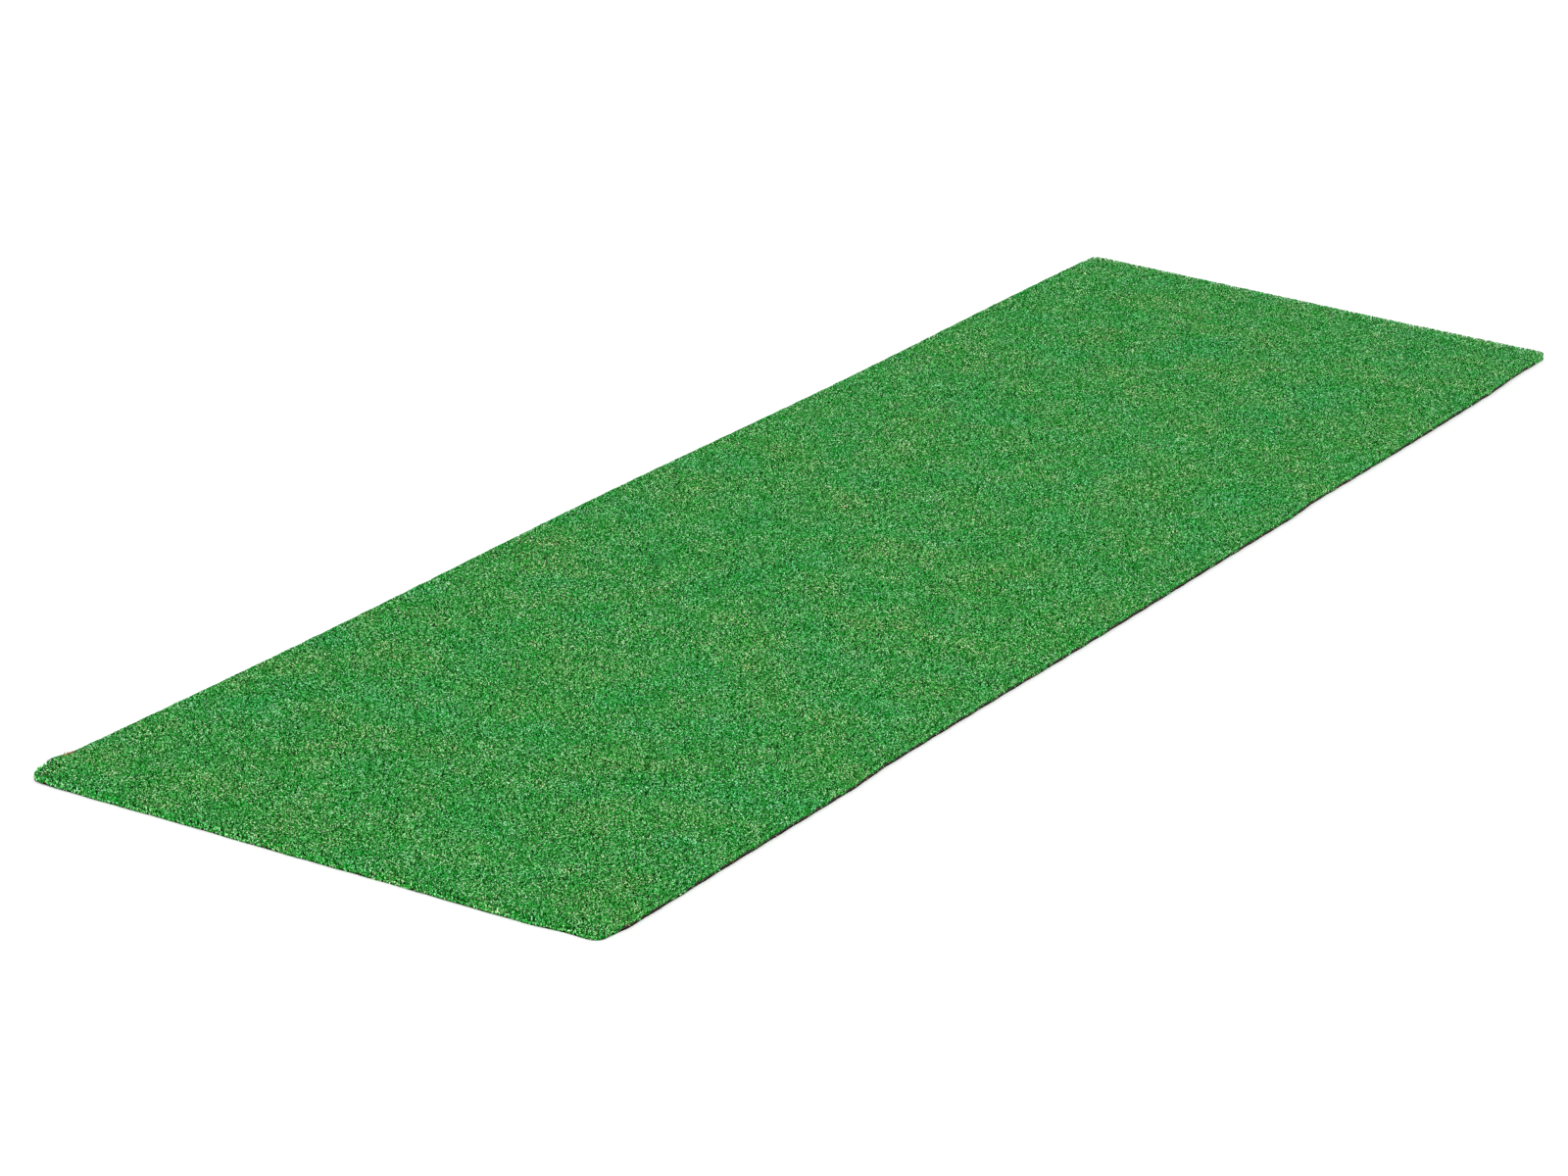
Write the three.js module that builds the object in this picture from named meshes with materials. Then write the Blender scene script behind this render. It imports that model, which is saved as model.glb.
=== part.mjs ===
// A golf hitting mat: a long rectangle of artificial turf, bonded to a thin foam rubber base.
//
// The mat is a laminate of four layers. From the floor up they are the foam base, the latex coat
// that locks the tufts and bonds the base, the woven primary backing that the yarn is tufted
// through, and the pile.
//
// Units are millimetres. The origin is the centre of the underside. The mat is WIDTH along X and
// LENGTH along Y, and +Z is up.

import * as THREE from 'three';

const FOOT = 304.8;
const WIDTH = 3 * FOOT;
const LENGTH = 11 * FOOT;

// Layer thicknesses, from the floor up.
const FOAM_THICKNESS = 3;
const LATEX_THICKNESS = 0.6;
const BACKING_THICKNESS = 0.6;
const PILE_HEIGHT = 8.3;

// The knife cut rounds each corner a little. The tufts of the outer rows lean out past the cut
// edge of the layers under them, so the side of the pile bulges.
const CORNER_RADIUS = 22;
const PILE_OVERHANG = 2;
const PILE_BULGE_HEIGHT = 2.4;

const CORNER_STEPS = 8;
const BULGE_STEPS = 3;

// The cut edge of the laminate: a rectangle with rounded corners.
function cutOutline() {
  const halfWidth = WIDTH / 2 - PILE_OVERHANG;
  const halfLength = LENGTH / 2 - PILE_OVERHANG;
  const right = halfWidth - CORNER_RADIUS;
  const far = halfLength - CORNER_RADIUS;
  const outline = new THREE.Shape();
  outline.absarc(right, far, CORNER_RADIUS, 0, Math.PI / 2);
  outline.absarc(-right, far, CORNER_RADIUS, Math.PI / 2, Math.PI);
  outline.absarc(-right, -far, CORNER_RADIUS, Math.PI, 1.5 * Math.PI);
  outline.absarc(right, -far, CORNER_RADIUS, 1.5 * Math.PI, 2 * Math.PI);
  return outline;
}

// One flat layer of the laminate, with square cut edges.
function flatLayer(bottom, thickness) {
  const layer = new THREE.ExtrudeGeometry(cutOutline(), {
    depth: thickness,
    bevelEnabled: false,
    curveSegments: CORNER_STEPS,
  });
  return layer.translate(0, 0, bottom);
}

// The pile as one closed block. Its roots are flush with the backing, its sides bulge out by the
// overhang, and they draw in again at the tips.
function pileBlock(bottom) {
  const block = new THREE.ExtrudeGeometry(cutOutline(), {
    depth: PILE_HEIGHT - 2 * PILE_BULGE_HEIGHT,
    bevelThickness: PILE_BULGE_HEIGHT,
    bevelSize: PILE_OVERHANG,
    bevelSegments: BULGE_STEPS,
    curveSegments: CORNER_STEPS,
  });
  return block.translate(0, 0, bottom + PILE_BULGE_HEIGHT);
}

// Adds one physical piece of the mat to the group, in its own named node.
function addPiece(mat, name, geometry, colour, roughness) {
  const material = new THREE.MeshStandardMaterial({ color: colour, roughness, metalness: 0 });
  const piece = new THREE.Mesh(geometry, material);
  piece.name = name;
  mat.add(piece);
}

const latexBottom = FOAM_THICKNESS;
const backingBottom = latexBottom + LATEX_THICKNESS;
const pileBottom = backingBottom + BACKING_THICKNESS;

const mat = new THREE.Group();
mat.name = 'golf_hitting_mat';
addPiece(mat, 'foam_base', flatLayer(0, FOAM_THICKNESS), 0x1c1a18, 0.9);
addPiece(mat, 'latex_coat', flatLayer(latexBottom, LATEX_THICKNESS), 0x4a3b28, 0.8);
addPiece(mat, 'primary_backing', flatLayer(backingBottom, BACKING_THICKNESS), 0x23291f, 0.85);
addPiece(mat, 'turf_pile', pileBlock(pileBottom), 0x408e46, 0.85);

export default mat;
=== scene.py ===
"""The looks of the golf hitting mat: turf on a thin foam rubber base, lying flat on a pale floor.

The mat is a bonded laminate. From the floor up it is foam rubber, a latex coat, a woven backing
and a pile of curled flat yarn. Every layer follows one cut outline, which strays a little from a
rectangle, and one lie: flat on the floor, but for the left edge, which curls up near the near left
corner. The pile is real geometry: each tuft is two curled ribbons of yarn. It is split across the
length into bands, only to keep each mesh a workable size.

Units are metres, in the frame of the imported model: +Y along the mat, +X across it, +Z up.
"""

from math import cos, pi, radians, sin

import bpy
import numpy as np
from mathutils import Matrix, Vector


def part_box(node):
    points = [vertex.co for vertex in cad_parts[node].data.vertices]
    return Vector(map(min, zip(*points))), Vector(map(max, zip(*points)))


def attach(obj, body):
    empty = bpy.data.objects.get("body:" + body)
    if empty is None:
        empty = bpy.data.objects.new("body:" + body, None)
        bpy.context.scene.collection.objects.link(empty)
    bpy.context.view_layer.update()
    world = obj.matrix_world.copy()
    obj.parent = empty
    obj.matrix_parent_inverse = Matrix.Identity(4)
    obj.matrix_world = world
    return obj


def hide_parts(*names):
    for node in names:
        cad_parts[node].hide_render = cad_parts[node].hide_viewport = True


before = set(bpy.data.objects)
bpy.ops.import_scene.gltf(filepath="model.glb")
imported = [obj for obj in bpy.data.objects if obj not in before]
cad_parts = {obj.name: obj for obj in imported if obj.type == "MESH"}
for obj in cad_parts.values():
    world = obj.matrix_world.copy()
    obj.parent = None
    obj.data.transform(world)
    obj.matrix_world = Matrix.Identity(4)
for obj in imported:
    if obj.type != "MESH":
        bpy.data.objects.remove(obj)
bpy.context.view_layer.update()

MM = 0.001
SEED = 11

# The layers' places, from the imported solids.
pile_low, pile_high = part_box("turf_pile")
foam_low, foam_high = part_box("foam_base")
latex_low, latex_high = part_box("latex_coat")
backing_low, backing_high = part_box("primary_backing")
WIDTH = pile_high[0] - pile_low[0]
LENGTH = pile_high[1] - pile_low[1]
HALF_WIDTH = foam_high[0]
HALF_LENGTH = foam_high[1]
PILE_ROOT = backing_high[2]
PILE_HEIGHT = pile_high[2] - PILE_ROOT


# ---------------------------------------------------------------- camera

VIEW_AZIMUTH = radians(27.6)
VIEW_ELEVATION = radians(19.52)
VIEW_ROLL = radians(4.12)
VIEW_DISTANCE = 2.54 * LENGTH
VIEW_TARGET = Vector((-0.032 * WIDTH, -0.0911 * LENGTH, 0))
LENS_MM = 126.3
SENSOR_MM = 36


def add_camera():
    """A long lens that looks down the mat from its near right, level but for a small roll."""
    back = Vector(
        (
            sin(VIEW_AZIMUTH) * cos(VIEW_ELEVATION),
            -cos(VIEW_AZIMUTH) * cos(VIEW_ELEVATION),
            sin(VIEW_ELEVATION),
        )
    )
    right = Vector((0, 0, 1)).cross(back).normalized()
    right.rotate(Matrix.Rotation(VIEW_ROLL, 3, back))
    axes = Matrix((right, back.cross(right), back)).transposed()
    data = bpy.data.cameras.new("camera")
    data.lens = LENS_MM
    data.sensor_width = SENSOR_MM
    camera = bpy.data.objects.new("camera", data)
    camera.matrix_world = Matrix.LocRotScale(
        VIEW_TARGET + back * VIEW_DISTANCE, axes.to_quaternion(), None
    )
    bpy.context.scene.collection.objects.link(camera)
    bpy.context.scene.camera = camera


# ---------------------------------------------------------------- nodes and meshes


def new_material(name):
    """A node material's tree and its Principled shader."""
    material = bpy.data.materials.new(name)
    material.use_nodes = True
    tree = material.node_tree
    return material, tree, tree.nodes["Principled BSDF"]


def node(tree, kind, inputs=(), **settings):
    """Adds a node. inputs maps a socket's name or number to a value, or to a socket to link."""
    made = tree.nodes.new(kind)
    for name, value in settings.items():
        setattr(made, name, value)
    for name, value in dict(inputs).items():
        if isinstance(value, bpy.types.NodeSocket):
            tree.links.new(value, made.inputs[name])
        else:
            made.inputs[name].default_value = value
    return made


def map_range(tree, value, low, high, to_low, to_high):
    inputs = {0: value, 1: low, 2: high, 3: to_low, 4: to_high}
    return node(tree, "ShaderNodeMapRange", inputs, clamp=True).outputs[0]


def mix_colours(tree, share, a, b, blend="MIX"):
    inputs = {"Factor": share, "A": a, "B": b}
    made = node(tree, "ShaderNodeMix", data_type="RGBA", blend_type=blend)
    colour_inputs = {"Factor": 0, "A": 6, "B": 7}
    for name, value in inputs.items():
        socket = made.inputs[colour_inputs[name]]
        if isinstance(value, bpy.types.NodeSocket):
            tree.links.new(value, socket)
        else:
            socket.default_value = value
    return made.outputs[2]


def ramp(tree, value, stops):
    """A colour ramp through (place, colour) stops."""
    made = node(tree, "ShaderNodeValToRGB", {0: value})
    elements = made.color_ramp.elements
    while len(elements) < len(stops):
        elements.new(0.5)
    for element, (place, colour) in zip(elements, stops, strict=True):
        element.position = place
        element.color = colour
    return made.outputs[0]


def mat_place(tree):
    """The place on the mat, in metres."""
    return node(tree, "ShaderNodeTexCoord").outputs["Object"]


def noise(tree, place, size, detail=2.0, roughness=0.5):
    """Noise whose blotches are about size metres across."""
    inputs = {"Vector": place, "Scale": 1 / size, "Detail": detail, "Roughness": roughness}
    return node(tree, "ShaderNodeTexNoise", inputs).outputs[0]


def mesh_object(name, points, quads):
    """An object from arrays of points (n, 3) and faces (m, 4)."""
    mesh = bpy.data.meshes.new(name)
    mesh.vertices.add(len(points))
    mesh.vertices.foreach_set("co", points.astype(np.float32).ravel())
    mesh.loops.add(quads.size)
    mesh.loops.foreach_set("vertex_index", quads.astype(np.int32).ravel())
    mesh.polygons.add(len(quads))
    mesh.polygons.foreach_set("loop_start", np.arange(0, quads.size, 4, dtype=np.int32))
    mesh.update(calc_edges=True)
    mesh.validate()
    made = bpy.data.objects.new(name, mesh)
    bpy.context.scene.collection.objects.link(made)
    return made


# ---------------------------------------------------------------- the lie of the mat

# Each corner's cut radius. The keys are the signs of x and y.
CORNER_RADII = {
    (-1, -1): 17 * MM,
    (1, -1): 14 * MM,
    (1, 1): 12 * MM,
    (-1, 1): 9 * MM,
}

# How the cut waves along each side: how far out and in, the wave's length as a share of the side,
# and where an outward peak is, as a share of the side from its low end.
LEFT_WAVE = (3.2 * MM, 0.49, 0.45)
RIGHT_WAVE = (1.3 * MM, 0.37, 0.06)
NEAR_WAVE = (0.6 * MM, 0.35, 0.1)
FAR_WAVE = (2.2 * MM, 1.2, 0.0)

# A finer roughness all round. Its length varies along a side: by how much, and how often.
CUT_ROUGHNESS = 0.4 * MM
CUT_ROUGH_LENGTH = 70 * MM
CUT_ROUGH_DRIFT = 2
CUT_ROUGH_DRIFT_RATE = 9

# Where the knife wandered off the line and was set back on it: how far along the side, as a share
# of it, and how far outwards. Between these places it strays evenly.
RIGHT_STRAYS = (
    (0.0, -9 * MM),
    (0.02, 0),
    (0.10, 0),
    (0.21, 3.2 * MM),
    (0.235, -1 * MM),
    (0.36, -1 * MM),
    (0.62, 4.2 * MM),
    (0.66, 4 * MM),
    (0.69, -1.5 * MM),
    (0.92, 1 * MM),
    (0.96, -4 * MM),
    (1.0, -3 * MM),
)
NEAR_STRAYS = ((0.89, 0), (0.94, -5 * MM), (1.0, -4 * MM))
NO_STRAYS = ((0, 0), (1, 0))

# The left edge is curled up near the near left corner: how high, how far from the corner, and how
# far the curl reaches along the edge and in from it.
CURL_LIFT = 6.4 * MM
CURL_PLACE = 42 * MM
CURL_ALONG = 36 * MM
CURL_IN = 70 * MM


def side_wave(along, half_side, wave, strays=NO_STRAYS):
    """How far the cut is outwards of its straight line, at a place along a side."""
    depth, wave_length, peak = wave
    share = along / (2 * half_side) + 0.5
    waved = depth * np.cos(2 * pi * (share - peak) / wave_length)
    drift = CUT_ROUGH_DRIFT * np.sin(CUT_ROUGH_DRIFT_RATE * share)
    rough = CUT_ROUGHNESS * np.sin(2 * pi * along / CUT_ROUGH_LENGTH + drift)
    strayed = np.interp(share, *np.transpose(strays))
    return waved + strayed + rough


def cut_half_width(x, y):
    """How far the cut edge is from the middle line, on each point's own side."""
    left = side_wave(y, HALF_LENGTH, LEFT_WAVE)
    right = side_wave(y, HALF_LENGTH, RIGHT_WAVE, RIGHT_STRAYS)
    return HALF_WIDTH + np.where(x < 0, left, right)


def cut_half_length(x, y):
    """How far the cut edge is from the middle of the length, on each point's own side."""
    near = side_wave(x, HALF_WIDTH, NEAR_WAVE, NEAR_STRAYS)
    far = side_wave(x, HALF_WIDTH, FAR_WAVE)
    return HALF_LENGTH + np.where(y < 0, near, far)


def corner_radius(x, y):
    """The cut radius of the corner in each point's own quarter of the mat."""
    radius = np.empty(np.shape(x))
    for (side_x, side_y), cut in CORNER_RADII.items():
        radius[((x >= 0) == (side_x > 0)) & ((y >= 0) == (side_y > 0))] = cut
    return radius


def inside_edge(x, y):
    """How far inside the cut edge each point is, and the outward direction of the nearest edge."""
    half_width = cut_half_width(x, y)
    half_length = cut_half_length(x, y)
    radius = corner_radius(x, y)
    past_x = np.abs(x) - (half_width - radius)
    past_y = np.abs(y) - (half_length - radius)
    in_corner = (past_x > 0) & (past_y > 0)
    reach = np.hypot(past_x, past_y)
    distance = np.where(in_corner, radius - reach, radius - np.maximum(past_x, past_y))
    nearer_x = past_x > past_y
    out_x = np.where(in_corner, past_x / reach, nearer_x)
    out_y = np.where(in_corner, past_y / reach, ~nearer_x)
    return distance, np.sign(x) * out_x, np.sign(y) * out_y


def lift(x, y):
    """The height of the mat's underside: flat, but for the one place where it curls up."""
    along = (y + HALF_LENGTH - CURL_PLACE) / CURL_ALONG
    inwards = (x + HALF_WIDTH) / CURL_IN
    return CURL_LIFT * np.exp(-(along**2) - inwards**2)


# ---------------------------------------------------------------- flat layers

LAYER_STEP = 12 * MM
CORNER_STEP = 3 * MM

# How far in from a short end a layer's rows of points still bend with the cut.
END_REACH = 4 * LAYER_STEP


def row_places():
    """Places along the length for a layer's rows of points, close together round the corners."""
    corner = max(CORNER_RADII.values())
    ends = np.arange(0, corner, CORNER_STEP)
    middle = np.arange(corner, 2 * HALF_LENGTH - corner, LAYER_STEP)
    return np.concatenate([ends, middle, 2 * HALF_LENGTH - ends[::-1]]) - HALF_LENGTH


def row_ends(y):
    """The lowest and highest x of the cut outline at each place y."""
    ends = []
    for side in (-1, 1):
        radius = corner_radius(np.full(len(y), float(side)), y)
        past = np.clip(np.abs(y) - (HALF_LENGTH - radius), 0, radius)
        inset = radius - np.sqrt(radius**2 - past**2)
        ends.append(side * (cut_half_width(side, y) - inset))
    return ends


def outline_grid():
    """The x and y of a grid of points that fills the cut outline."""
    y = row_places()
    low, high = row_ends(y)
    columns = round(2 * HALF_WIDTH / LAYER_STEP) + 1
    share = np.linspace(0, 1, columns)[None, :]
    x = low[:, None] * (1 - share) + high[:, None] * share
    y = np.broadcast_to(y[:, None], x.shape)
    near_end = np.clip(1 - (HALF_LENGTH - np.abs(y)) / END_REACH, 0, 1)
    return x, y + np.sign(y) * (cut_half_length(x, y) - HALF_LENGTH) * near_end


def slab(name, bottom, top, material):
    """A closed layer between two heights, cut to the outline and following the mat's lie."""
    x, y = outline_grid()
    points = [np.stack([x, y, lift(x, y) + height], axis=-1) for height in (bottom, top)]
    index = np.arange(x.size).reshape(x.shape)
    under = grid_quads(index)[:, ::-1]
    over = grid_quads(index + x.size)
    border = np.concatenate([index[0, :-1], index[:-1, -1], index[-1, :0:-1], index[:0:-1, 0]])
    following = np.roll(border, -1)
    wall = np.stack([border, following, following + x.size, border + x.size], axis=1)
    points = np.concatenate([layer.reshape(-1, 3) for layer in points])
    made = mesh_object(name, points, np.concatenate([under, over, wall]))
    made.data.materials.append(material)
    return made


def grid_quads(index):
    """The faces of a grid of point numbers, facing up."""
    corners = (index[:-1, :-1], index[:-1, 1:], index[1:, 1:], index[1:, :-1])
    return np.stack([c.ravel() for c in corners], axis=1)


# ---------------------------------------------------------------- pile

TUFT_GAUGE = 1 / 8 * 25.4 * MM
STITCH_LENGTH = 3.9 * MM
TUFT_JITTER = 0.35 * MM
LEAST_INSET = 0.3 * MM
RIBBONS_PER_TUFT = 2
RIBBON_LENGTH = 10 * MM
RIBBON_WIDTH = 1.7 * MM
PILE_BANDS = 20

# How ribbons differ, at least and at most: length, width and height as shares, and the bend from
# upright at the root and at the tip.
LENGTHS = (0.9, 1.1)
WIDTHS = (0.75, 1.2)
TUFT_HEIGHTS = (0.95, 1)
RIBBON_HEIGHTS = (1.0, 1.1)
ROOT_BENDS = (0.0, 0.45)
TIP_BENDS = (1.8, 3.2)

# The spread of their headings round the tuft, of their curls sideways, and of their twists.
HEADING_SPREAD = 0.4
CURL_SPREAD = 1.3
ROOT_TWIST = 0.4
TIP_TWIST_SPREAD = 0.7
TIP_NARROWING = 0.35

# Heights over the backing below which the pile is painted in shade, deep in it, and above which it
# is open to the light, with an openness of 1. At the cut edge painted light reaches all the way
# down, but for the roots along the long sides, and the splayed yarn half way up is painted paler
# still.
SHADED_HEIGHT = 0.4 * PILE_HEIGHT
OPEN_HEIGHT = PILE_HEIGHT
OPEN_AT_EDGE = 0.8
PALEST_AT_EDGE = 1.6
PALEST_HEIGHT = 3.5 * MM

# Where the edge's light ends, as so many times EDGE_DEPTH in from it, and where the tufts' lean
# ends, as so many times EDGE_REACH.
LIGHT_FADE = 1.5
LEAN_FADE = 1.2

# The UV map that baked colours are laid out on, and the bare share of a cell round its ribbon.
BAKE_MAP = "OFBake"
CELL_MARGIN = 0.15

# A ribbon is a straight stem and then a curl: the places of its points, as shares of its length.
STATION_PLACES = np.array([0, 0.55, 0.78, 1])
STEM_STRAIGHTNESS = 2.2

# The pile is trodden down at the near left corner: the share of its height that is lost there, and
# how far from the corner that reaches.
CORNER_WEAR = 0.65
WEAR_REACH = 28 * MM

# The outer tufts have nothing to lean on, so they lean out over the cut edge. A droop of 1 hangs a
# ribbon over: its root bends further by one angle, and its tip reaches another.
EDGE_REACH = 5 * MM
EDGE_DROOP = 0.12
LOOSE_DROOPS = (0.3, 1)
DROOPED_ROOT_BEND = 0.9
DROOPED_TIP_BEND = 3.0
EDGE_LEANS = (0.6, 1)

# How far yarn reaches past the cut edge at most, and how much of that a ribbon may use.
OVERHANG = 1.4 * MM
OVERHANG_SHARES = (0.4, 1)
FLOOR_GAP = 0.3 * MM

# How far above the backing the tips that aren't loose stop, at least and at most.
LEAST_CLEARANCE = 1.1 * MM
MOST_CLEARANCE = 3.4 * MM

# The cut goes through tufts as well as between them, so the edge has close ends of its own. Some of
# them hang loose, down to the floor: most at the two ends of the mat, where the stitches are cut
# through, and few along the sides, so there the base shows between them.
EDGE_SPACING = 1.0 * MM
LEAST_EDGE_INSET = 0.2 * MM
EDGE_DEPTH = 2.2 * MM
END_CORNER = 45 * MM
LOOSE_AT_ENDS = 0.85
LOOSE_AT_SIDES = 0.04
LOOSE_SIDE_LENGTHS = (0.4, 0.9)

# Along the long sides the loose yarn is in clumps, at uneven places.
LOOSE_IN_CLUMPS = 0.3
CLUMP_LEVEL = 0.8
CLUMP_SPACING = 83 * MM
CLUMP_DRIFT = 3
CLUMP_DRIFT_RATE = 0.31


def clump_wave(y):
    """How close the hanging yarn is along the long sides: 1 in its clumps, -1 between them."""
    turns = 2 * pi * y / CLUMP_SPACING
    return np.sin(turns + CLUMP_DRIFT * np.sin(CLUMP_DRIFT_RATE * turns))


def at_short_end(y):
    return np.abs(y) > HALF_LENGTH - END_CORNER


def tuft_roots(rng):
    """The tufts' places: rows along the length, a gauge apart, inside the cut edge."""
    columns = np.arange(-HALF_WIDTH - TUFT_GAUGE, HALF_WIDTH + TUFT_GAUGE, TUFT_GAUGE)
    rows = np.arange(-HALF_LENGTH - STITCH_LENGTH, HALF_LENGTH + STITCH_LENGTH, STITCH_LENGTH)
    x, y = np.meshgrid(columns, rows)
    y[:, 1::2] += STITCH_LENGTH / 2
    x = x.ravel() + rng.normal(0, TUFT_JITTER, x.size)
    y = y.ravel() + rng.normal(0, TUFT_JITTER, y.size)
    keep = inside_edge(x, y)[0] > LEAST_INSET
    return x[keep], y[keep]


def edge_roots(rng):
    """Places close together all round the cut edge, and which of them hang loose."""
    across = np.arange(-HALF_WIDTH, HALF_WIDTH, EDGE_SPACING)
    along = np.arange(-HALF_LENGTH, HALF_LENGTH, EDGE_SPACING)
    side = np.full(len(along), HALF_WIDTH)
    end = np.full(len(across), HALF_LENGTH)
    x = np.concatenate([across, across, -side, side])
    y = np.concatenate([-end, end, along, along])
    x = x + rng.normal(0, TUFT_JITTER, len(x))
    y = y + rng.normal(0, TUFT_JITTER, len(y))
    distance, out_x, out_y = inside_edge(x, y)
    inwards = rng.uniform(LEAST_EDGE_INSET, EDGE_DEPTH, len(x)) - distance
    at_sides = np.where(clump_wave(y) > CLUMP_LEVEL, LOOSE_IN_CLUMPS, LOOSE_AT_SIDES)
    chance = np.where(at_short_end(y), LOOSE_AT_ENDS, at_sides)
    loose = rng.uniform(0, 1, len(x)) < chance
    return x - inwards * out_x, y - inwards * out_y, loose


def kept_height(x, y):
    """The share of its height that the pile keeps where it is trodden down."""
    from_corner = np.hypot(x + HALF_WIDTH, y + HALF_LENGTH)
    return 1 - CORNER_WEAR * np.exp(-((from_corner / WEAR_REACH) ** 2))


def turned_outwards(heading, out_x, out_y, share):
    """Headings turned towards the outward direction by a share of the way."""
    away = np.arctan2(out_y, out_x) - heading
    return heading + share * ((away + pi) % (2 * pi) - pi)


def trim(spine, overhang):
    """Draws in what reaches past the cut edge by more than the overhang."""
    distance, out_x, out_y = inside_edge(spine[..., 0], spine[..., 1])
    excess = np.maximum(-distance - overhang, 0)
    spine[..., 0] -= excess * out_x
    spine[..., 1] -= excess * out_y


def ribbon_spines(heading, root_bend, tip_bend, curl, length, straightness):
    """Each ribbon's middle line from its root at the origin, and its tangents and turns."""
    bent = STATION_PLACES ** straightness[:, None]
    bend = root_bend[:, None] + (tip_bend - root_bend)[:, None] * bent
    turn = heading[:, None] + curl[:, None] * STATION_PLACES
    tangent = np.stack(
        [np.sin(bend) * np.cos(turn), np.sin(bend) * np.sin(turn), np.cos(bend)], axis=-1
    )
    steps = length[:, None] * np.diff(STATION_PLACES)
    spine = np.zeros_like(tangent)
    middle = 0.5 * (tangent[:, 1:] + tangent[:, :-1])
    spine[:, 1:] = np.cumsum(middle * steps[..., None], axis=1)
    return spine, tangent, turn


def ribbon_edges(spine, tangent, turn, width, rng):
    """The two edges of each ribbon, which twists and tapers: (ribbons, stations, 2, 3)."""
    count = len(spine)
    side = np.stack([-np.sin(turn), np.cos(turn), np.zeros_like(turn)], axis=-1)
    binormal = np.cross(tangent, side)
    root_twist = rng.uniform(-ROOT_TWIST, ROOT_TWIST, count)
    tip_twist = rng.normal(0, TIP_TWIST_SPREAD, count)
    twist = root_twist[:, None] + tip_twist[:, None] * STATION_PLACES
    across = np.cos(twist)[..., None] * side + np.sin(twist)[..., None] * binormal
    narrowed = 1 - TIP_NARROWING * STATION_PLACES**2
    half_width = 0.5 * width[:, None, None] * narrowed[..., None]
    return np.stack([spine - across * half_width, spine + across * half_width], axis=2)


def headings_and_shades(tufts, rng):
    """A tuft's ribbons lean apart, and their shades are spread over the whole range."""
    count = tufts * RIBBONS_PER_TUFT
    in_tuft = np.tile(np.arange(RIBBONS_PER_TUFT), (tufts, 1))
    facing = np.repeat(rng.uniform(0, 2 * pi, tufts), RIBBONS_PER_TUFT)
    apart = 2 * pi * in_tuft.ravel() / RIBBONS_PER_TUFT
    heading = facing + apart + rng.normal(0, HEADING_SPREAD, count)
    order = rng.permuted(in_tuft, axis=1).ravel()
    shade = (order + rng.uniform(0, 1, count)) / RIBBONS_PER_TUFT
    return heading, shade


def openness(spine, kept, free_to_root):
    """How open to the light each point is, while its height is still over the backing."""
    height = spine[..., 2]
    full_height = height / kept[:, None]
    by_height = np.clip((full_height - SHADED_HEIGHT) / (OPEN_HEIGHT - SHADED_HEIGHT), 0, 1)
    above_root = np.clip(height / PALEST_HEIGHT, 0, 1)
    clear_of_root = np.where(free_to_root[:, None], 1, above_root)
    heights = (-PILE_ROOT, PALEST_HEIGHT, PILE_HEIGHT)
    # Painted light on the yarn at the cut edge, palest on the splayed yarn half way up.
    painted_edge_light = np.interp(height, heights, (OPEN_AT_EDGE, PALEST_AT_EDGE, OPEN_AT_EDGE))
    from_edge = inside_edge(spine[..., 0], spine[..., 1])[0]
    near_edge = np.clip(LIGHT_FADE - from_edge / EDGE_DEPTH, 0, 1)
    return np.maximum(by_height, painted_edge_light * clear_of_root * near_edge)


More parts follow.
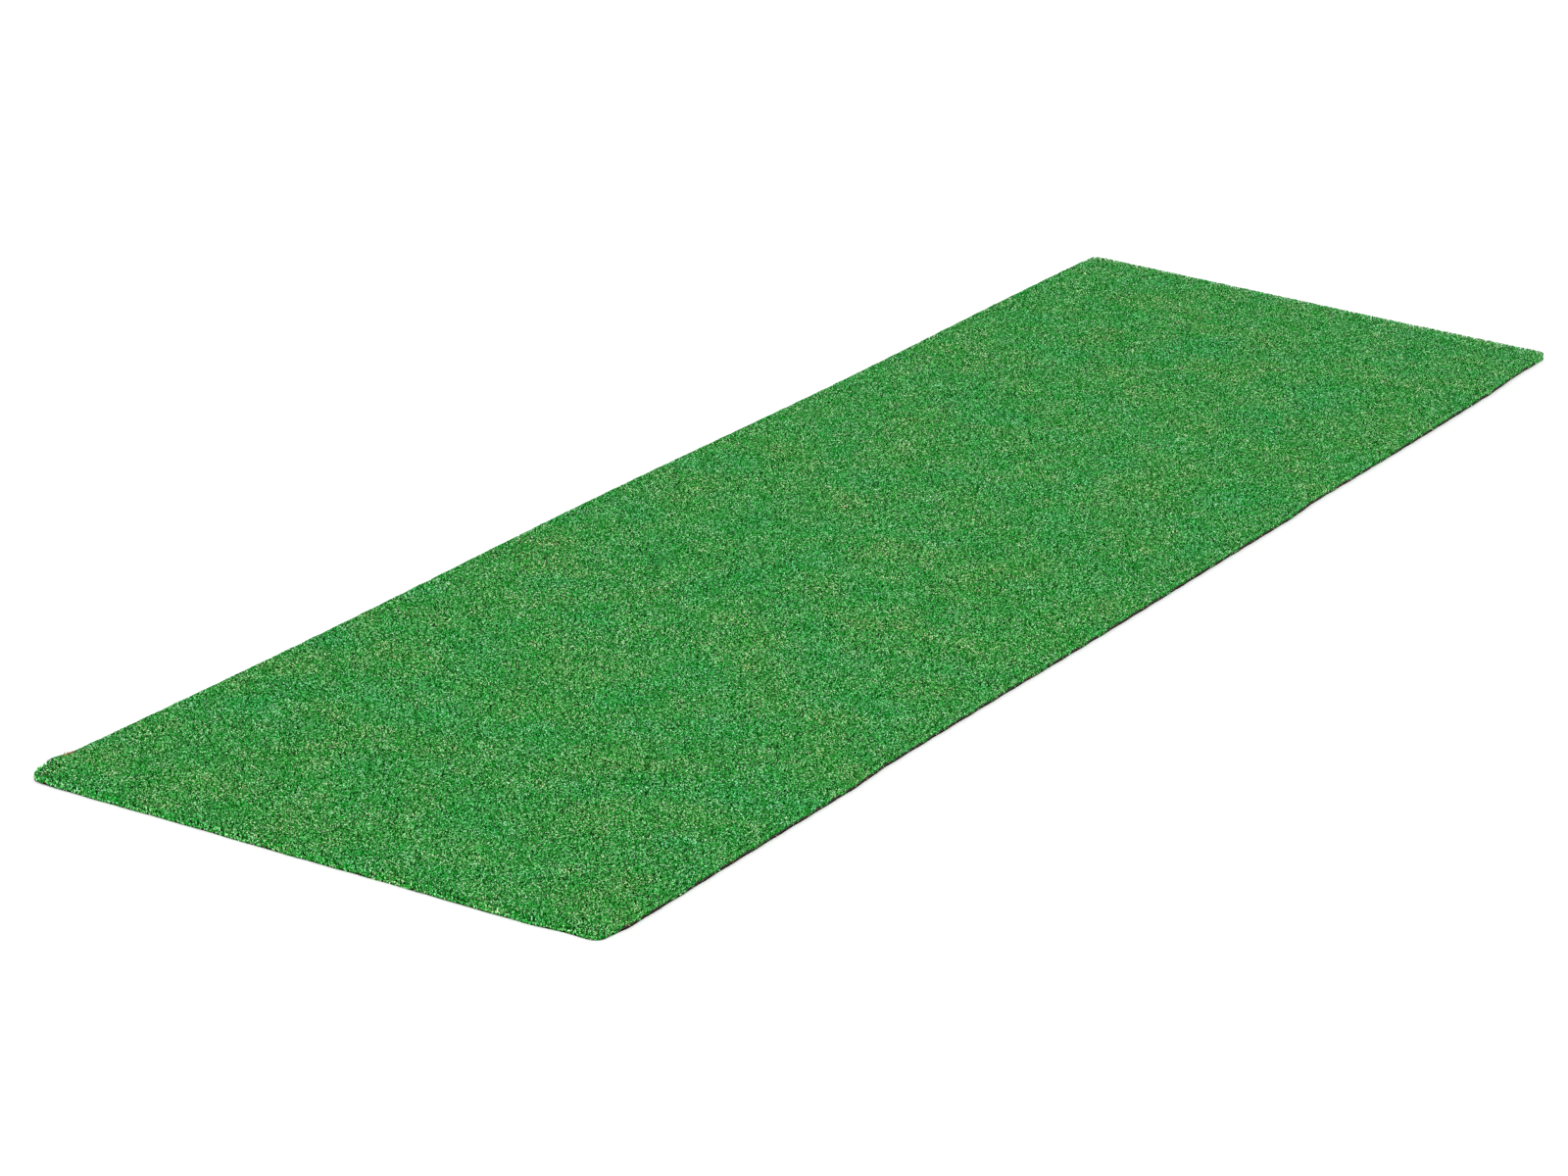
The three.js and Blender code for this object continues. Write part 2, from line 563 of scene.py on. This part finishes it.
def grow_ribbons(x, y, loose, rng):
    """The tufts' ribbons: their edges, each ribbon's shade and how open to light each point is."""
    tufts = len(x)
    x = np.repeat(x, RIBBONS_PER_TUFT)
    y = np.repeat(y, RIBBONS_PER_TUFT)
    loose = np.repeat(loose, RIBBONS_PER_TUFT)
    at_end = at_short_end(y)
    count = len(x)

    heading, shade = headings_and_shades(tufts, rng)
    root_bend = rng.uniform(*ROOT_BENDS, count)
    tip_bend = rng.uniform(*TIP_BENDS, count)
    curl = rng.normal(0, CURL_SPREAD, count)
    length = RIBBON_LENGTH * rng.uniform(*LENGTHS, count)
    length = length * np.where(loose & ~at_end, rng.uniform(*LOOSE_SIDE_LENGTHS, count), 1)
    width = RIBBON_WIDTH * rng.uniform(*WIDTHS, count)
    tuft_height = np.repeat(rng.uniform(*TUFT_HEIGHTS, tufts), RIBBONS_PER_TUFT)
    kept = kept_height(x, y)
    top = PILE_HEIGHT * tuft_height * rng.uniform(*RIBBON_HEIGHTS, count) * kept

    distance, out_x, out_y = inside_edge(x, y)
    near_edge = np.clip(LEAN_FADE - distance / EDGE_REACH, 0, 1)
    at_edge = near_edge * rng.uniform(*EDGE_LEANS, count)
    droop = np.where(loose, rng.uniform(*LOOSE_DROOPS, count), EDGE_DROOP * at_edge)
    heading = turned_outwards(heading, out_x, out_y, at_edge)
    root_bend = root_bend + DROOPED_ROOT_BEND * droop
    tip_bend = tip_bend + (DROOPED_TIP_BEND - tip_bend) * droop
    curl = curl * (1 - at_edge)
    straightness = np.where(loose, 1, STEM_STRAIGHTNESS + (1 - STEM_STRAIGHTNESS) * at_edge)
    spine, tangent, turn = ribbon_spines(heading, root_bend, tip_bend, curl, length, straightness)

    # The pile is sheared level, so each ribbon's highest point is near the same height.
    highest = np.maximum(spine[..., 2].max(axis=1), MM)
    level = np.where(loose, np.minimum(top / highest, 1), top / highest)
    spine[..., 2] *= level[:, None]

    # Between the clumps the tips stop short of the base.
    bare = at_edge * (0.5 - 0.5 * clump_wave(y))
    clearance = LEAST_CLEARANCE + (MOST_CLEARANCE - LEAST_CLEARANCE) * bare
    lowest = clearance[:, None] * STATION_PLACES
    spine[..., 2] = np.where(loose[:, None], spine[..., 2], np.maximum(spine[..., 2], lowest))

    spine[..., 0] += x[:, None]
    spine[..., 1] += y[:, None]
    trim(spine, OVERHANG * rng.uniform(*OVERHANG_SHARES, count)[:, None])
    lit = openness(spine, kept, loose | at_end)
    ground = lift(spine[..., 0], spine[..., 1])
    spine[..., 2] = np.maximum(spine[..., 2] + PILE_ROOT + ground, ground + FLOOR_GAP)
    return ribbon_edges(spine, tangent, turn, width, rng), shade, lit


def ribbon_mesh(name, points, shade, openness, material):
    """A mesh of ribbons. Its attributes carry each ribbon's shade and each point's openness."""
    count, stations = points.shape[:2]
    index = np.arange(count * stations * 2).reshape(count, stations, 2)
    quads = np.stack(
        [index[:, :-1, 0], index[:, :-1, 1], index[:, 1:, 1], index[:, 1:, 0]], axis=-1
    )
    made = mesh_object(name, points.reshape(-1, 3), quads.reshape(-1, 4))
    values = {"shade": np.repeat(shade, stations * 2), "openness": np.repeat(openness.ravel(), 2)}
    for kind, value in values.items():
        attribute = made.data.attributes.new(kind, "FLOAT", "POINT")
        attribute.data.foreach_set("value", value.astype(np.float32))
    add_ribbon_map(made.data, count, stations)
    made.data.shade_smooth()
    made.data.materials.append(material)
    return made


def add_ribbon_map(mesh, count, stations):
    """A UV map for baked colours, on which every ribbon has a square cell of its own."""
    cells = int(np.ceil(np.sqrt(count)))
    ribbon, station, edge = np.indices((count, stations, 2))
    inner = 1 - 2 * CELL_MARGIN
    u = (ribbon % cells + CELL_MARGIN + inner * edge) / cells
    v = (ribbon // cells + CELL_MARGIN + inner * station / (stations - 1)) / cells
    places = np.stack([u.ravel(), v.ravel()], axis=1)
    corners = np.empty(len(mesh.loops), dtype=np.int32)
    mesh.loops.foreach_get("vertex_index", corners)
    layer = mesh.uv_layers.new(name=BAKE_MAP)
    layer.data.foreach_set("uv", places[corners].astype(np.float32).ravel())


def pile_bands(material):
    """The pile, in bands across the length."""
    rng = np.random.default_rng(SEED)
    tufts = tuft_roots(rng)
    edge_x, edge_y, edge_loose = edge_roots(rng)
    x = np.concatenate([tufts[0], edge_x])
    y = np.concatenate([tufts[1], edge_y])
    loose = np.concatenate([np.zeros(len(tufts[0]), bool), edge_loose])
    edges = np.linspace(-HALF_LENGTH, HALF_LENGTH, PILE_BANDS + 1)[1:-1]
    band = np.digitize(y, edges)
    made = []
    for number in range(PILE_BANDS):
        here = band == number
        ribbons = grow_ribbons(x[here], y[here], loose[here], rng)
        made.append(ribbon_mesh(f"turf_band_{number + 1:02}", *ribbons, material))
    return made


# ---------------------------------------------------------------- frayed backing

FRAY_SPACING = 18 * MM
FRAY_JITTER = 0.4 * FRAY_SPACING
FRAY_WIDTH = 1.1 * MM
FRAY_INSET = 1 * MM

# The bunch is on the left edge, between two places measured from the near end.
BUNCH_PLACES = (66 * MM, 116 * MM)
BUNCH_COUNT = 70

# How the tapes lie. The first of each pair is for a tape on its own, which sticks out of the edge,
# and the second for one in the bunch, which lies along it.
TAPE_LENGTHS = (5 * MM, 24 * MM)
TAPE_LENGTH_SHARES = (0.7, 1.1)
TAPE_HEADING_SPREADS = (0.5, 0.12)
TAPE_CURL_SPREADS = (0.6, 0.15)
TAPE_ROOT_BENDS = (1.2, 0.1)
TAPE_ROOT_BEND_RANGE = (-0.1, 0.4)
TAPE_TIP_BENDS = (2.0, 1.5)
TAPE_TIP_BEND_RANGE = (-0.2, 0.2)

# No tape stands higher than about the pile.
TAPE_HEIGHT_SHARES = (0.85, 1.05)


def fray_places(rng):
    """Places on the cut edge with a loose tape: here and there all round, and the one bunch."""
    y = np.arange(-HALF_LENGTH, HALF_LENGTH, FRAY_SPACING)
    x = np.arange(-HALF_WIDTH, HALF_WIDTH, FRAY_SPACING)
    xs = [np.full(len(y), -HALF_WIDTH), np.full(len(y), HALF_WIDTH), x, x]
    ys = [y, y, np.full(len(x), -HALF_LENGTH), np.full(len(x), HALF_LENGTH)]
    count = sum(map(len, xs))
    place_x = np.concatenate(xs) + rng.normal(0, FRAY_JITTER, count)
    place_y = np.concatenate(ys) + rng.normal(0, FRAY_JITTER, count)
    bunch_y = -HALF_LENGTH + rng.uniform(*BUNCH_PLACES, BUNCH_COUNT)
    place_x = np.concatenate([place_x, np.full(BUNCH_COUNT, -HALF_WIDTH)])
    place_y = np.concatenate([place_y, bunch_y])
    distance, out_x, out_y = inside_edge(place_x, place_y)
    in_bunch = np.arange(len(place_x)) >= count
    return place_x + distance * out_x, place_y + distance * out_y, in_bunch


def frayed_tapes(material):
    """The backing's own tapes, pulled loose at the edge. The bunch lies over the outer tufts."""
    rng = np.random.default_rng(SEED + 1)
    x, y, in_bunch = fray_places(rng)
    count = len(x)
    straightness = np.ones(count)

    def of_kind(pair):
        return np.where(in_bunch, pair[1], pair[0])

    _, out_x, out_y = inside_edge(x, y)
    outwards = np.arctan2(out_y, out_x)
    along_edge = outwards + 0.5 * pi * rng.choice([-1, 1], count)
    heading = np.where(in_bunch, along_edge, outwards)
    heading = heading + rng.normal(0, 1, count) * of_kind(TAPE_HEADING_SPREADS)
    root_bend = of_kind(TAPE_ROOT_BENDS) + rng.uniform(*TAPE_ROOT_BEND_RANGE, count)
    tip_bend = of_kind(TAPE_TIP_BENDS) + rng.uniform(*TAPE_TIP_BEND_RANGE, count)
    length = of_kind(TAPE_LENGTHS) * rng.uniform(*TAPE_LENGTH_SHARES, count)
    curl = rng.normal(0, 1, count) * of_kind(TAPE_CURL_SPREADS)
    spine, tangent, turn = ribbon_spines(heading, root_bend, tip_bend, curl, length, straightness)

    highest = np.maximum(spine[..., 2].max(axis=1), MM)
    top = PILE_HEIGHT * rng.uniform(*TAPE_HEIGHT_SHARES, count)
    ground = lift(x, y)[:, None]
    spine[..., 2] *= np.minimum(top / highest, 1)[:, None]
    spine[..., 0] += (x - FRAY_INSET * out_x)[:, None]
    spine[..., 1] += (y - FRAY_INSET * out_y)[:, None]
    spine[..., 2] += PILE_ROOT + ground
    spine[..., 2] = np.maximum(spine[..., 2], ground + FLOOR_GAP)
    edges = ribbon_edges(spine, tangent, turn, np.full(count, FRAY_WIDTH), rng)
    shade = rng.uniform(0, 1, count)
    return ribbon_mesh("frayed_tapes", edges, shade, np.ones(spine.shape[:2]), material)


# ---------------------------------------------------------------- materials


def attribute(tree, name):
    return node(tree, "ShaderNodeAttribute", attribute_name=name).outputs["Fac"]


def grey(tree, value):
    return node(tree, "ShaderNodeCombineColor", {0: value, 1: value, 2: value}).outputs[0]


def bumped(tree, shader, height, depth):
    """Drives the shader's normal from a height, which spans depth metres."""
    bump = node(tree, "ShaderNodeBump", {"Height": height, "Distance": depth})
    tree.links.new(bump.outputs[0], shader.inputs["Normal"])


# The yarn's colours, from painted shade in the inside of a crimp, through the ribbons' own tones,
# to a painted highlight on its crest.
YARN_TONES_AND_SHADING = (
    (0.0, (0.000, 0.130, 0.002, 1)),
    (0.3, (0.001, 0.245, 0.006, 1)),
    (0.5, (0.006, 0.370, 0.020, 1)),
    (0.7, (0.076, 0.555, 0.106, 1)),
    (1.0, (0.540, 0.930, 0.530, 1)),
)

# The sizes of what varies in the yarn, from its fibres up to the tints of the whole mat.
FIBRE_SIZE = 0.5 * MM
CRIMP_SHADING_SIZE = 2.2 * MM
FLECK_SIZE = 8 * MM
PATCH_SIZE = 30 * MM
TINT_SIZE = 150 * MM

# How much of the range of colours the crimps' painted shade and highlight take up, either way.
CRIMP_SHADING_DEPTH = 0.64

# What multiplies the yarn's colour: in a fleck, from smooth patches to grainy ones, and over the
# whole mat, from bluish places to yellowish ones.
FLECK_TINTS = ((0.90, 1.0, 1.10, 1), (1.4, 1.0, 0.95, 1))
BROAD_TINTS = ((0.68, 1.0, 1.10, 1), (1.38, 1.0, 1.02, 1))


def yarn_shade(tree, place, patch):
    """Where in the yarn's colours each point is: its ribbon's own tone, plus the painted shade and
    highlight of the crimps.
    """
    # Painted shade and highlights, in spots about a crimp across, added to each ribbon's own tone.
    crimp_shading_noise = noise(tree, place, CRIMP_SHADING_SIZE, 1)
    crimp_shading = map_range(tree, crimp_shading_noise, 0.3, 0.7, -CRIMP_SHADING_DEPTH, CRIMP_SHADING_DEPTH)
    own = map_range(tree, attribute(tree, "shade"), 0, 1, 0.3, 0.7)
    tone_and_shading = node(tree, "ShaderNodeMath", {0: own, 1: crimp_shading}, operation="ADD").outputs[0]
    darkest = map_range(tree, patch, 0, 1, 0.10, -0.10)
    lightest = map_range(tree, patch, 0, 1, 0.86, 1.04)
    return map_range(tree, tone_and_shading, 0, 1, darkest, lightest)


def turf_yarn():
    """Flat green yarn in many shades: grainy patches with olive flecks, and smoother blue ones,
    with painted shade and highlights for its crimps and painted shade and light for its depth in
    the pile.
    """
    material, tree, shader = new_material("turf_yarn")
    place = mat_place(tree)
    patch = map_range(tree, noise(tree, place, PATCH_SIZE, 2, 0.6), 0.34, 0.66, 0, 1)
    yarn = ramp(tree, yarn_shade(tree, place, patch), YARN_TONES_AND_SHADING)
    fleck = map_range(tree, noise(tree, place, FLECK_SIZE, 1), 0.48, 0.66, 0, 1)
    olive = mix_colours(tree, patch, *FLECK_TINTS)
    olive = mix_colours(tree, fleck, (1, 1, 1, 1), olive)
    yarn = mix_colours(tree, 1.0, yarn, olive, "MULTIPLY")
    broad = map_range(tree, noise(tree, place, TINT_SIZE, 4, 0.6), 0.3, 0.7, 0, 1)
    tint = mix_colours(tree, broad, *BROAD_TINTS)
    yarn = mix_colours(tree, 1.0, yarn, tint, "MULTIPLY")
    # Painted shade deep in the pile and painted light at the cut edge, by each point's openness.
    lit = map_range(tree, attribute(tree, "openness"), 0, 2, 0.4, 1.6)
    yarn = mix_colours(tree, 1.0, yarn, grey(tree, lit), "MULTIPLY")
    tree.links.new(yarn, shader.inputs["Base Color"])
    fibre = noise(tree, place, FIBRE_SIZE, 2)
    gloss = map_range(tree, fibre, 0.3, 0.7, 0.38, 0.6)
    tree.links.new(gloss, shader.inputs["Roughness"])
    bumped(tree, shader, fibre, 0.08 * MM)
    shader.inputs["Specular IOR Level"].default_value = 0.08
    return material


# The foam's cells and blotches, and the heights between which its brown foot turns into charcoal.
CELL_SIZE = 1.1 * MM
BLOTCH_SIZE = 60 * MM
FOOT_HEIGHTS = (0.4 * MM, 1.1 * MM)
FOOT_BROWN = (0.055, 0.020, 0.011, 1)
CHARCOALS = ((0.003, 0.002, 0.002, 1), (0.010, 0.007, 0.006, 1))


def foam_rubber():
    """Charcoal foam rubber with open cells, and a reddish brown foot where it meets the floor."""
    material, tree, shader = new_material("foam_rubber")
    place = mat_place(tree)
    cells = node(tree, "ShaderNodeTexVoronoi", {"Vector": place, "Scale": 1 / CELL_SIZE})
    wall = map_range(tree, cells.outputs["Distance"], 0.1, 0.6, 0, 1)
    blotch = noise(tree, place, BLOTCH_SIZE, 5)
    height = node(tree, "ShaderNodeSeparateXYZ", {0: place}).outputs["Z"]
    charcoal = mix_colours(tree, blotch, *CHARCOALS)
    above_foot = map_range(tree, height, *FOOT_HEIGHTS, 0, 1)
    colour = mix_colours(tree, above_foot, FOOT_BROWN, charcoal)
    # Painted shade in the hollows of the open cells, lighter on the cell walls.
    pore_shade = mix_colours(tree, wall, (0.4, 0.4, 0.4, 1), (1.2, 1.2, 1.2, 1))
    tree.links.new(mix_colours(tree, 1.0, colour, pore_shade, "MULTIPLY"), shader.inputs["Base Color"])
    tree.links.new(map_range(tree, blotch, 0.3, 0.7, 0.8, 0.95), shader.inputs["Roughness"])
    bumped(tree, shader, wall, 0.3 * MM)
    shader.inputs["Specular IOR Level"].default_value = 0.03
    return material


RUN_SIZE = 7 * MM
LATEX_BROWNS = ((0.020, 0.012, 0.006, 1), (0.090, 0.055, 0.025, 1))


def latex_coat():
    """Brown latex, spread on wet, with soft ripples, darker where they are low."""
    material, tree, shader = new_material("latex_coat")
    place = mat_place(tree)
    runs = noise(tree, place, RUN_SIZE, 4)
    colour = mix_colours(tree, runs, *LATEX_BROWNS)
    tree.links.new(colour, shader.inputs["Base Color"])
    tree.links.new(map_range(tree, runs, 0.3, 0.7, 0.45, 0.75), shader.inputs["Roughness"])
    bumped(tree, shader, runs, 0.4 * MM)
    return material


TAPE_PITCH = 1.6 * MM
WEAR_SIZE = 25 * MM
WEAVE_SHADED_GREENS = ((0.003, 0.008, 0.004, 1), (0.014, 0.034, 0.014, 1))


def woven_backing():
    """Dark green polypropylene tape in a plain weave, one tape over and the next under."""
    material, tree, shader = new_material("woven_backing")
    place = mat_place(tree)
    waves = [
        node(
            tree,
            "ShaderNodeTexWave",
            {"Vector": place, "Scale": pi / (10 * TAPE_PITCH)},
            bands_direction=direction,
        ).outputs["Fac"]
        for direction in ("X", "Y")
    ]
    checker = node(tree, "ShaderNodeTexChecker", {"Vector": place, "Scale": 1 / TAPE_PITCH})
    over = checker.outputs["Fac"]
    weave = node(tree, "ShaderNodeMix", {"Factor": over}, data_type="FLOAT")
    tree.links.new(waves[0], weave.inputs[2])
    tree.links.new(waves[1], weave.inputs[3])
    height = weave.outputs[0]
    # Painted shade where a tape dips under its neighbour, lighter where it rides over.
    colour = mix_colours(tree, height, *WEAVE_SHADED_GREENS)
    tree.links.new(colour, shader.inputs["Base Color"])
    wear = noise(tree, place, WEAR_SIZE, 3)
    tree.links.new(map_range(tree, wear, 0.3, 0.7, 0.5, 0.75), shader.inputs["Roughness"])
    bumped(tree, shader, height, 0.25 * MM)
    return material


# The shades of the frayed tapes, from soaked in latex to bare.
TAPE_SHADES = (
    (0.0, (0.030, 0.016, 0.008, 1)),
    (0.5, (0.220, 0.095, 0.030, 1)),
    (1.0, (0.480, 0.260, 0.100, 1)),
)
STAIN_SIZE = 4 * MM


def frayed_tape():
    """The backing's tape where latex has stained it brown."""
    material, tree, shader = new_material("frayed_tape")
    place = mat_place(tree)
    stain = noise(tree, place, STAIN_SIZE, 3)
    tape = ramp(tree, attribute(tree, "shade"), TAPE_SHADES)
    spotted = mix_colours(tree, stain, (0.6, 0.6, 0.6, 1), (1.3, 1.2, 1.0, 1))
    tree.links.new(mix_colours(tree, 1.0, tape, spotted, "MULTIPLY"), shader.inputs["Base Color"])
    tree.links.new(map_range(tree, stain, 0.3, 0.7, 0.5, 0.8), shader.inputs["Roughness"])
    bumped(tree, shader, stain, 0.1 * MM)
    return material


# ---------------------------------------------------------------- pieces


def add_piece(piece, replaced):
    """Fixes a piece to the mat's one body, in place of its CAD solid."""
    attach(piece, "root")
    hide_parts(replaced)


# ---------------------------------------------------------------- stage

FLOOR_SIZE = 60
FLOOR_COLOUR = (0.9, 0.9, 0.9, 1)
SKY_COLOUR = (1, 1, 1, 1)
SKY_STRENGTH = 1.12

# One large soft light, high over the near end.
KEY_PLACE = Vector((2.5, -7.5, 11.5))
KEY_SIZE = 5
KEY_POWER = 620


def add_stage():
    """A pale floor, an even pale sky and one large soft light."""
    material, _, shader = new_material("floor")
    shader.inputs["Base Color"].default_value = FLOOR_COLOUR
    shader.inputs["Roughness"].default_value = 0.9
    bpy.ops.mesh.primitive_plane_add(size=FLOOR_SIZE)
    floor = bpy.context.object
    floor.name = "floor"
    floor.data.materials.append(material)

    world = bpy.data.worlds.new("studio")
    world.use_nodes = True
    background = world.node_tree.nodes["Background"]
    background.inputs["Color"].default_value = SKY_COLOUR
    background.inputs["Strength"].default_value = SKY_STRENGTH
    bpy.context.scene.world = world

    light = bpy.data.lights.new("soft_key", "AREA")
    light.size = KEY_SIZE
    light.energy = KEY_POWER
    lamp = bpy.data.objects.new("soft_key", light)
    lamp.location = KEY_PLACE
    lamp.rotation_euler = KEY_PLACE.to_track_quat("Z", "Y").to_euler()
    bpy.context.scene.collection.objects.link(lamp)
    bpy.context.scene.view_settings.view_transform = "Standard"

    # Denoising smears the grain of the turf.
    bpy.context.scene.cycles.use_denoising = False


# ---------------------------------------------------------------- the scene

add_camera()
add_stage()

foam = slab("foam_pad", foam_low[2], foam_high[2], foam_rubber())
latex = slab("latex_layer", latex_low[2], latex_high[2], latex_coat())
backing = slab("backing_cloth", backing_low[2], backing_high[2], woven_backing())
bands = pile_bands(turf_yarn())
tapes = frayed_tapes(frayed_tape())

add_piece(foam, "foam_base")
add_piece(latex, "latex_coat")
for piece in (backing, tapes):
    add_piece(piece, "primary_backing")
for piece in bands:
    add_piece(piece, "turf_pile")
